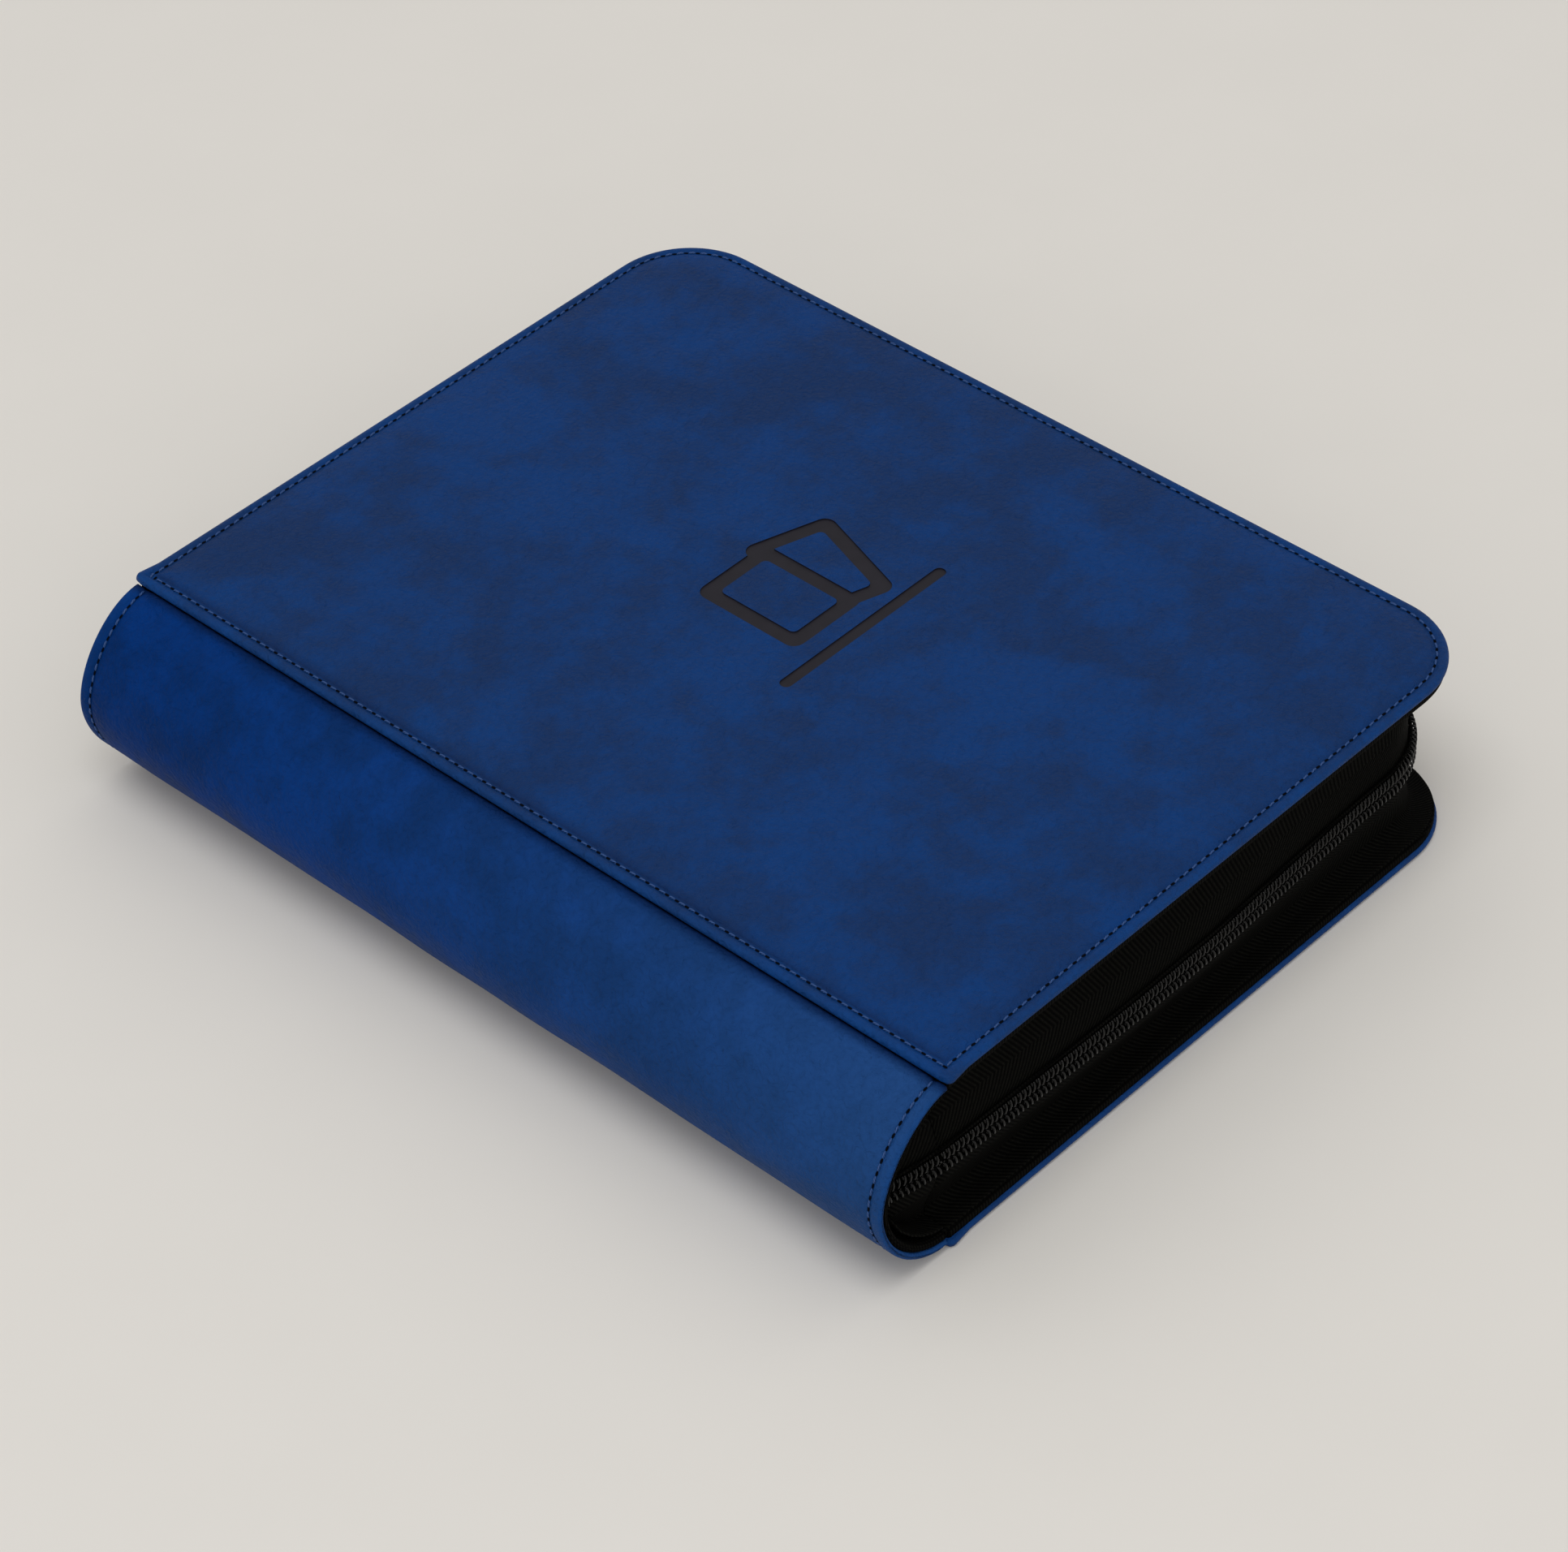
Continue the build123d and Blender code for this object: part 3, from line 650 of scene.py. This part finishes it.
def makeSpineSheet(name, outer, inner, endInset, stations, shape, material, dips, ripples):
    # a bent sheet between two depths; dips is how far its outside sinks at an inset from each end
    outside, inside = spineSection(outer), spineSection(inner)
    half = halfLength - endInset
    insets = [s * mm for s in stations]
    places = [(-half + s, s) for s in insets] + [(half - s, s) for s in insets[::-1]]
    reach = shape["endRounding"]
    points, paintedShadeMask = [], []
    for y, inset in places:
        rounding = reach - math.sqrt(max(0.0, reach**2 - max(0.0, reach - inset)**2))
        sink = rounding + np.interp(inset / mm, *zip(*dips)) * mm
        fade = min(1.0, max(0.0, (inset / mm - 8) / 14))
        for x, z, nx, nz in outside:
            away = max(0.0, seamX - x)
            tuck = shape["tuck"] * max(0.0, 1 - away / shape["tuckReach"]) * (z < middleZ)
            wave = ripples * shape["rippleDepth"] * fade * ripple(x, y, z) * min(1, away / (6 * mm))
            points.append((x - nx * (sink + tuck - wave), y, z - nz * (sink + tuck - wave)))
            # painted shade under the upper hem
            paintedShadeMask.append(max(0.0, 1 - away / shape["shadedReach"]) * (z > middleZ))
        for x, z, nx, nz in inside[::-1]:
            points.append((x + nx * rounding, y, z + nz * rounding))
            paintedShadeMask.append(0.0)
    size = 2 * len(outside)
    faces = loftFaces(len(places), size)
    ends = []
    last = (len(places) - 1) * size
    for k in range(len(outside) - 1):
        a, b = k, size - 1 - k
        ends.append((a, a + 1, b - 1, b))
        ends.append((last + b, last + b - 1, last + a + 1, last + a))
    sheet = meshObject(name, points, faces + ends, [material])
    insets = np.array([inset for _, inset in places]) / mm
    # painted highlight: the turned ends of the strip are marked for a lighter colour
    turned = np.interp(insets, (0.3, 1.2, 3.7, 4.2), (1.0, 0.45, 0.3, 0.0))
    paintAttribute(sheet, "turned", np.repeat(turned, size))
    paintAttribute(sheet, "paintedShadeMask", paintedShadeMask)
    return sheet


endStations = [0, 0.1, 0.25, 0.45, 0.7, 1.3, 2.0, 2.5, 2.8, 3.1, 3.5, 3.9, 4.2, 4.7, 5.8, 7.5, 10, 13]
middleStations = list(np.linspace(16, halfLength / mm - 0.9, 52))
# inset from each end and how deep the stitching pulls the skin down there, mm
skinDips = [(0, 0), (2.0, 0.0), (2.6, 0.12), (3.1, 0.4), (3.9, 0.4), (4.4, 0.15), (5.4, 0.0), (500, 0)]
spineSkin = makeSpineSheet("spineSkin", 0.0, spineShape["skin"], 0.0, endStations + middleStations,
                           spineShape, spineLeather, skinDips, 1)
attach(spineSkin, "spine")
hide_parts("spine_skin", "spine_foam")

spineInner = spineShape["skin"] + spineShape["lining"]
spineLining = makeSpineSheet("spineLining", spineShape["skin"], spineInner, 0.5 * mm,
                             [0, 0.15, 0.4, 0.8, 2.5] + list(np.linspace(8, halfLength / mm - 1.5, 30)),
                             {**spineShape, "tuck": 0.0}, canvas, [(0, 0), (500, 0)], 0)
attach(spineLining, "spine")
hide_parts("spine_lining", "spine_stiffener")
print("spine made")


# stitching
stitch = {
    "pitch": 3.0 * mm, "length": 1.9 * mm, "radius": 0.27 * mm, "pit": 0.56 * mm, "slant": 0.09,
    "spineInset": 3.5 * mm, "spineDip": 0.4 * mm,
}


def walk(points, closed):
    # cumulative length along a line of points
    ends = np.vstack([points, points[:1]]) if closed else points
    steps = np.linalg.norm(np.diff(ends, axis=0), axis=1)
    return ends, np.concatenate([[0], np.cumsum(steps)])


def makeStitches(name, line, normals, closed):
    ends, lengths = walk(line, closed)
    looks = np.vstack([normals, normals[:1]]) if closed else normals
    count = round(lengths[-1] / stitch["pitch"])
    pitch = lengths[-1] / count
    at = lambda values, s: np.array([np.interp(s, lengths, values[:, k]) for k in range(3)])
    points, faces, uvs, kinds = [], [], [], []
    half, radius = stitch["length"] / 2, stitch["radius"]
    ringsAlong = [(-1.0, 0.35, -0.5), (-0.82, 0.8, 0.0), (-0.4, 1.0, 0.35),
                  (0.4, 1.0, 0.35), (0.82, 0.8, 0.0), (1.0, 0.35, -0.5)]
    for i in range(count):
        s = (i + 0.5) * pitch
        centre, up = at(ends, s), at(looks, s)
        up /= np.linalg.norm(up)
        forward = at(ends, s + 0.3 * mm) - at(ends, s - 0.3 * mm)
        forward /= np.linalg.norm(forward)
        side = np.cross(up, forward)
        first = len(points)
        for along, thick, lift in ringsAlong:
            middle = (centre + forward * along * half + side * along * half * stitch["slant"]
                      + up * radius * (lift + 0.35))
            for step in range(6):
                a = math.tau * step / 6
                points.append(middle + (side * math.cos(a) + up * math.sin(a)) * radius * thick)
                uvs.append((along * half / mm, step / 3))
        faces += loftFaces(len(ringsAlong), 6, start=first)
        faces += [tuple(first + k for k in range(6))[::-1],
                  tuple(first + 6 * len(ringsAlong) - 6 + k for k in range(6))]
        kinds += [0] * (5 * 6 + 2)
        # the pit just past the stitch's end
        first = len(points)
        centre = at(ends, min(s + pitch / 2, lengths[-1])) + up * 0.13 * mm
        points.append(centre - up * 0.12 * mm)
        uvs.append((0, 0))
        for step in range(8):
            a = math.tau * step / 8
            points.append(centre + (side * math.cos(a) * 0.6 + forward * math.sin(a) * 1.25) * stitch["pit"])
            uvs.append((0, 0))
        faces += [(first, first + 1 + k, first + 1 + (k + 1) % 8) for k in range(8)]
        kinds += [1] * 8
    row = meshObject(name, points, faces, [thread, needlePit])
    row.data.polygons.foreach_set("material_index", kinds)
    setUVs(row, uvs)
    return row


def coverStitches(name, face, up, crown):
    ring = outline(coverShape["stitchInset"], coverShape)
    height = min(dict(coverShape["profile"])[coverShape["stitchInset"] / mm], crown)
    line = np.column_stack([ring[:, 0], ring[:, 1], np.full(len(ring), face + up * height * mm)])
    return makeStitches(name, line, np.tile([0.0, 0.0, float(up)], (len(ring), 1)), True)


def spineStitches(name, side):
    section = spineSection(0.0)
    y = side * (halfLength - stitch["spineInset"])
    dip = stitch["spineDip"]
    line = np.array([(x - nx * dip, y, z - nz * dip) for x, z, nx, nz in section])
    return makeStitches(name, line, np.array([(nx, 0.0, nz) for _, _, nx, nz in section]), False)


rows = {
    "front_cover": [coverStitches("frontCoverStitches", topZ, 1, 9.0)],
    "back_cover": [coverStitches("backCoverStitches", 0.0, -1, 0.0)],
    "spine": [spineStitches("spineStitchesNear", -1), spineStitches("spineStitchesFar", 1)],
}
for body, made in rows.items():
    for row in made:
        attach(row, body)
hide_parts("front_cover_thread")
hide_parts("back_cover_thread")
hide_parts("spine_thread")
print("stitches made")


# zip
zipLook = {
    "coilPitch": 1.5 * mm,      # a size 5 coil
    "chainRadius": 28 * mm,     # at the near corner, where the pages keep the chain from bending tighter
    "wire": 0.31 * mm,
    "headReach": 0.35 * mm,     # the coil heads come this much nearer the middle than the plain bead
    "release": 28.8 * mm,       # the upper row starts this far past the seam on the far side
    "tapeThickness": 0.6 * mm,
    # the lower tape from its sewn flange up to the chain: inset from the cover's edge and height, mm
    "tapeCurve": [(1.3, 4.75), (3.5, 4.78), (5.8, 4.95), (7.0, 5.9), (7.25, 7.6), (7.0, 10.5), (6.3, 14.0),
                  (5.4, 17.5), (4.85, 20.5), (4.72, 23.0), (4.72, 25.3)],
}
coilInset = halfLength - coilHigh.y
coilWidth = 2.2 * mm
coilMidInset = coilInset + coilWidth / 2


def bow(x):
    # how far the full pages push the near run of the chain outwards
    return np.interp(x / mm, (-113, -103, -94, -77, -54, -30, -4, 23, 52, 62),
                     (-2.0, 0.4, 1.6, 2.1, 2.7, 3.2, 3.0, 1.5, 0.2, 0)) * mm


def zipRoute(inset, nearRadius, farRadius, pushed):
    # fine steps round the three sides: points at that inset from the cover's edge, and outward normals
    side = halfLength - inset
    rows = [(x, -side - pushed * bow(x), 0, -1) for x in np.linspace(seamX, foreX - inset - nearRadius, 400)]
    for radius, start, way in ((nearRadius, -90, -1), (farRadius, 0, 1)):
        cx, cy = foreX - inset - radius, way * (side - radius)
        if way > 0:
            rows += [(foreX - inset, y, 1, 0) for y in np.linspace(nearRadius - side, cy, 500)[1:]]
        rows += [(cx + radius * math.cos(a), cy + radius * math.sin(a), math.cos(a), math.sin(a))
                 for a in np.radians(np.linspace(start, start + 90, 91)[1:])]
    rows += [(x, side, 0, 1) for x in np.linspace(foreX - inset - farRadius, seamX, 400)[1:]]
    return np.array(rows, float)


def spineRoute(side, inset, pushed):
    # straight into one end of the spine, from its back wall out to the seam
    pushed = pushed if side < 0 else 0
    rows = [(x, side * (halfLength - inset + pushed * bow(x)), 0, side)
            for x in np.linspace(spineLow.x + 4.9 * mm, spineHigh.x, 60)]
    return np.array(rows if side < 0 else rows[::-1], float)


def tubeAlong(points, radius, sides, lookAt):
    # a round wire through points; lookAt gives a direction that's never along the wire
    tangents = np.gradient(points, axis=0)
    tangents /= np.linalg.norm(tangents, axis=1)[:, None]
    first = np.cross(tangents, lookAt)
    first /= np.linalg.norm(first, axis=1)[:, None]
    second = np.cross(tangents, first)
    angles = np.arange(sides) * math.tau / sides
    rings = (points[:, None, :] + radius * (first[:, None, :] * np.cos(angles)[None, :, None]
                                            + second[:, None, :] * np.sin(angles)[None, :, None]))
    count = len(points)
    faces = loftFaces(count, sides)
    faces += [tuple(range(sides))[::-1], tuple(range((count - 1) * sides, count * sides))]
    return rings.reshape(-1, 3), faces


def coilTurns(route, start, stop, up, phase):
    # one row of coil between two lengths along the route; up is 1 for the upper row
    line = route[:, :2]
    lengths = np.concatenate([[0], np.cumsum(np.linalg.norm(np.diff(line, axis=0), axis=1))])
    stop = lengths[-1] + stop if stop <= 0 else stop
    perTurn = 12
    count = int((stop - start) / zipLook["coilPitch"] * perTurn)
    s = start + np.arange(count) * zipLook["coilPitch"] / perTurn
    angle = np.arange(count) * math.tau / perTurn + phase
    x, y, nx, ny = [np.interp(s, lengths, route[:, k]) for k in range(4)]
    norm = np.hypot(nx, ny)
    squared = lambda v: np.sign(v) * np.abs(v) ** 0.75
    low = middleZ - coilHigh.z - zipLook["headReach"]
    high = middleZ - coilLow.z
    across = squared(np.cos(angle)) * (coilWidth / 2 - zipLook["wire"])
    tall = (low + high) / 2 + squared(np.sin(angle)) * ((high - low) / 2 - zipLook["wire"])
    points = np.column_stack([x + nx / norm * across, y + ny / norm * across, middleZ + up * tall])
    centre = np.column_stack([x, y, np.full(count, middleZ + up * (low + high) / 2)])
    return tubeAlong(points, zipLook["wire"], 6, points - centre)


def phaseAt(distance, up):
    # where in its turn a row is at that distance round from the near seam; the two rows are half a turn apart
    return (0.0 if up > 0 else math.pi) + math.tau * distance / zipLook["coilPitch"]


def cordLine(route, start, stop, up):
    # the cord that the coil is sewn over, along its outer roots
    line = route[:, :2]
    lengths = np.concatenate([[0], np.cumsum(np.linalg.norm(np.diff(line, axis=0), axis=1))])
    stop = lengths[-1] + stop if stop <= 0 else stop
    s = np.arange(start, stop, 1.5 * mm)
    x, y, nx, ny = [np.interp(s, lengths, route[:, k]) for k in range(4)]
    out = -0.5 * mm
    z = middleZ + up * (middleZ - coilLow.z + 0.15 * mm)
    points = np.column_stack([x + nx * out, y + ny * out, np.full(len(s), z)])
    return tubeAlong(points, 0.4 * mm, 8, np.tile([0.0, 0.0, 1.0], (len(s), 1)))


def joined(name, pieces, material):
    points, faces = [], []
    for some, made in pieces:
        faces += [tuple(k + len(points) for k in face) for face in made]
        points += list(some)
    return meshObject(name, points, faces, [material])


def makeTape(name, routes, offsets, up, floorAt):
    # the tape as a thin closed strip; floorAt gives the height it may start from at each x
    curve = np.array(zipLook["tapeCurve"]) * mm
    share = np.concatenate([[0], np.cumsum(np.linalg.norm(np.diff(curve, axis=0), axis=1))])
    width = share[-1]
    steps = np.linspace(0, width, 34)
    insets, heights = np.interp(steps, share, curve[:, 0]), np.interp(steps, share, curve[:, 1])
    half = zipLook["tapeThickness"] / 2
    tangent = np.gradient(np.column_stack([insets, heights]), axis=0)
    tangent /= np.linalg.norm(tangent, axis=1)[:, None]
    normal = np.column_stack([tangent[:, 1], -tangent[:, 0]])
    points, faces, uvs = [], [], []
    area = 0.0
    follow = np.clip((heights / mm - 6) / 15, 0, 1)
    follow = follow * follow * (3 - 2 * follow)     # the upper part follows the chain, the flange the cover
    for (route, chain), offset in zip(routes, offsets):
        line, shift = chain[:, :2], chain[:, :2] - route[:, :2]
        lengths = np.concatenate([[0], np.cumsum(np.linalg.norm(np.diff(line, axis=0), axis=1))])
        keep = np.unique(np.concatenate([np.arange(0, len(route), 12), [len(route) - 1]]))
        bends = np.flatnonzero((np.abs(route[:, 2]) > 0.001) & (np.abs(route[:, 3]) > 0.001))
        keep = np.unique(np.concatenate([keep, bends[::4]]))
        first = len(points)
        for k in keep:
            x, y, nx, ny = route[k]
            low = floorAt(x)
            heightHere = np.maximum(heights, low) if low > 0 else heights
            for side in (1, -1):
                order = range(len(steps)) if side > 0 else range(len(steps) - 1, -1, -1)
                for i in order:
                    inset = insets[i] - coilMidInset + side * half * normal[i, 0]
                    z = heightHere[i] + side * half * normal[i, 1]
                    z = z if up < 0 else 2 * middleZ - z
                    points.append((x - nx * inset + shift[k, 0] * follow[i],
                                   y - ny * inset + shift[k, 1] * follow[i], z))
                    uvs.append((lengths[k] + offset, steps[i]))
        size = 2 * len(steps)
        faces += loftFaces(len(keep), size, start=first)
        last = first + (len(keep) - 1) * size
        faces += [tuple(range(first, first + size))[::-1], tuple(range(last, last + size))]
        area += lengths[-1] * width
    tape = meshObject(name, points, faces, [herringbone])
    setUVs(tape, uvs)
    return tape, width, area / width


innerCurve = spineSection(spineInner + 0.4 * mm)
lowerInner = innerCurve[innerCurve[:, 1] < spineShape["middle"]]
upperInner = innerCurve[innerCurve[:, 1] > spineShape["middle"]]


def spineFloor(x):
    # how near the tape may come to the outside of the C at x, above and below
    low = np.interp(x, *lowerInner[np.argsort(lowerInner[:, 0])][:, :2].T)
    high = np.interp(x, *upperInner[np.argsort(upperInner[:, 0])][:, :2].T)
    return max(low, 2 * middleZ - high)


cornerRadius = coverShape["cornerRadius"] - coilMidInset
flangeRoute = zipRoute(coilMidInset, cornerRadius, cornerRadius, 0)
mainRoute = zipRoute(coilMidInset, zipLook["chainRadius"], cornerRadius, 1)
spineFlanges = [spineRoute(side, coilMidInset, 0) for side in (-1, 1)]
spineRoutes = [spineRoute(side, coilMidInset, 1) for side in (-1, 1)]
for up, half, cover in ((-1, "lower", "back_cover"), (1, "upper", "front_cover")):
    stop = -zipLook["release"] if up > 0 else 0
    coil = joined(half + "CoilRow", [coilTurns(mainRoute, 0.0, stop, up, phaseAt(0.0, up))], nylon)
    cord = joined(half + "CoilCord", [cordLine(mainRoute, 0.0, stop, up)], canvas)
    tape, width, length = makeTape(half + "ZipTape", [(flangeRoute, mainRoute)], [0.0], up, lambda x: 0.0)
    for piece in (coil, cord, tape):
        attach(piece, cover)
    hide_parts(half + "_zip_coil")
    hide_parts(half + "_zip_tape")
# the chain starts at a staple of two bent wires, clenched over both rows; it's as dull black as the coil
staple = {"wire": 0.25 * mm, "gap": 1.0 * mm, "halfHeight": 3.0 * mm, "from": 1.0 * mm}
wires = []
for side in (-1, 1):
    x0, y0 = spineRoutes[0][0, 0] + staple["from"] + side * staple["gap"] / 2, spineRoutes[0][4, 1]
    face, z1 = y0 - coilWidth / 2 - staple["wire"] / 2, staple["halfHeight"]
    bent = [(x0, y0, -z1), (x0, face + 0.3 * mm, -z1), (x0, face, -z1 + 0.3 * mm), (x0, face, 0.0),
            (x0, face, z1 - 0.3 * mm), (x0, face + 0.3 * mm, z1), (x0, y0, z1)]
    bent = np.array(bent) + (0, 0, middleZ)
    wires.append(tubeAlong(bent, staple["wire"], 8, np.tile([1.0, 0.0, 0.0], (len(bent), 1))))
bottomStop = joined("zipBottomStop", wires, nylon)
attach(bottomStop, "spine")
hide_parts("zip_bottom_stop")
offsets = [-np.ptp(spineRoutes[0][:, 0]), 0.0]
mainLength = walk(mainRoute[:, :2], False)[1][-1]
spineStarts = [spineRoutes[0][0, 0] - seamX, mainLength + seamX - spineHigh.x]
spineCoils = joined("spineCoilEnds", [
    coilTurns(route, 0.0, 0, up, phaseAt(start, up))
    for route, start in zip(spineRoutes, spineStarts) for up in (-1, 1)
], nylon)
spineCords = joined("spineCoilCords", [
    cordLine(route, 0.0, 0, up) for route in spineRoutes for up in (-1, 1)
], canvas)
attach(spineCords, "spine")
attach(spineCoils, "spine")
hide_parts("spine_zip_coil_ends")
for i, (up, half) in enumerate(((-1, "Lower"), (1, "Upper"))):
    tape, width, length = makeTape("spineTape" + half, list(zip(spineFlanges, spineRoutes)), offsets, up,
                                   spineFloor)
    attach(tape, "spine")
    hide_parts("spine_zip_tape_ends")
print("zip made")


# pieces whose CAD shape stays
keptNodes = {
    "zip_slider_body": lacquer, "zip_slider_bridge": lacquer, "zip_pull_tab": lacquer,
    "zip_top_stops": nylon, "binding_plate": greyboard,
    "page_tabs": sheetPlastic, "page_spacers": spacerFoam,
}
for name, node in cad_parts.items():
    if name.startswith("page_") and name not in keptNodes:
        kind = name.rsplit("_", 1)[1]
        keptNodes[name] = {"sheet": sheetPlastic, "borders": weldPlastic, "films": film}[kind]
for name, material in keptNodes.items():
    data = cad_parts[name].data
    data.materials.clear()
    data.materials.append(material)


# floor, light and camera
studio = {
    "floorSize": 6.0,
    "floorHeight": -0.05 * mm,
    "keyPower": 13.0, "keySize": 1.3, "keyFrom": (-0.6, -0.25, 2.2),
    "fillPower": 4.0, "fillSize": 1.6, "fillFrom": (-1.5, -1.5, 1.0),
    "world": "#f4f1ed", "worldStrength": 0.73,
}
half = studio["floorSize"] / 2
floorZ = studio["floorHeight"]
floorCorners = [(x * half, y * half, floorZ) for x, y in ((-1, -1), (1, -1), (1, 1), (-1, 1))]
floor = meshObject("floor", floorCorners, [(0, 1, 2, 3)], [paper], smooth=False)


def softbox(name, power, size, source):
    data = bpy.data.lights.new(name, "AREA")
    data.shape, data.size, data.energy = "DISK", size, power
    lamp = bpy.data.objects.new(name, data)
    bpy.context.collection.objects.link(lamp)
    lamp.location = source
    lamp.rotation_mode = "QUATERNION"
    lamp.rotation_quaternion = (-Vector(source)).to_track_quat("-Z", "Y")


softbox("keyLight", studio["keyPower"], studio["keySize"], studio["keyFrom"])
softbox("fillLight", studio["fillPower"], studio["fillSize"], studio["fillFrom"])
world = bpy.data.worlds.new("studio")
world.use_nodes = True
background = world.node_tree.nodes["Background"]
background.inputs[0].default_value = hexToLinear(studio["world"])
background.inputs[1].default_value = studio["worldStrength"]
bpy.context.scene.world = world
bpy.context.scene.view_settings.view_transform = "Standard"

eye = {
    "target": (-3.8 * mm, 4.2 * mm, 0.0), "azimuth": -45.6, "elevation": 41.4, "roll": -2.35,
    "distance": 1181.7 * mm, "lens": 112.95,
}
azimuth, elevation = math.radians(eye["azimuth"]), math.radians(eye["elevation"])
back = Vector((math.sin(azimuth) * math.cos(elevation), -math.cos(azimuth) * math.cos(elevation),
               math.sin(elevation)))
cameraData = bpy.data.cameras.new("camera")
cameraData.lens = eye["lens"]
camera = bpy.data.objects.new("camera", cameraData)
bpy.context.collection.objects.link(camera)
camera.location = Vector(eye["target"]) + back * eye["distance"]
camera.rotation_mode = "QUATERNION"
camera.rotation_quaternion = ((-back).to_track_quat("-Z", "Y")
                              @ Quaternion((0, 0, 1), math.radians(eye["roll"])))
bpy.context.scene.camera = camera

print("scene done")
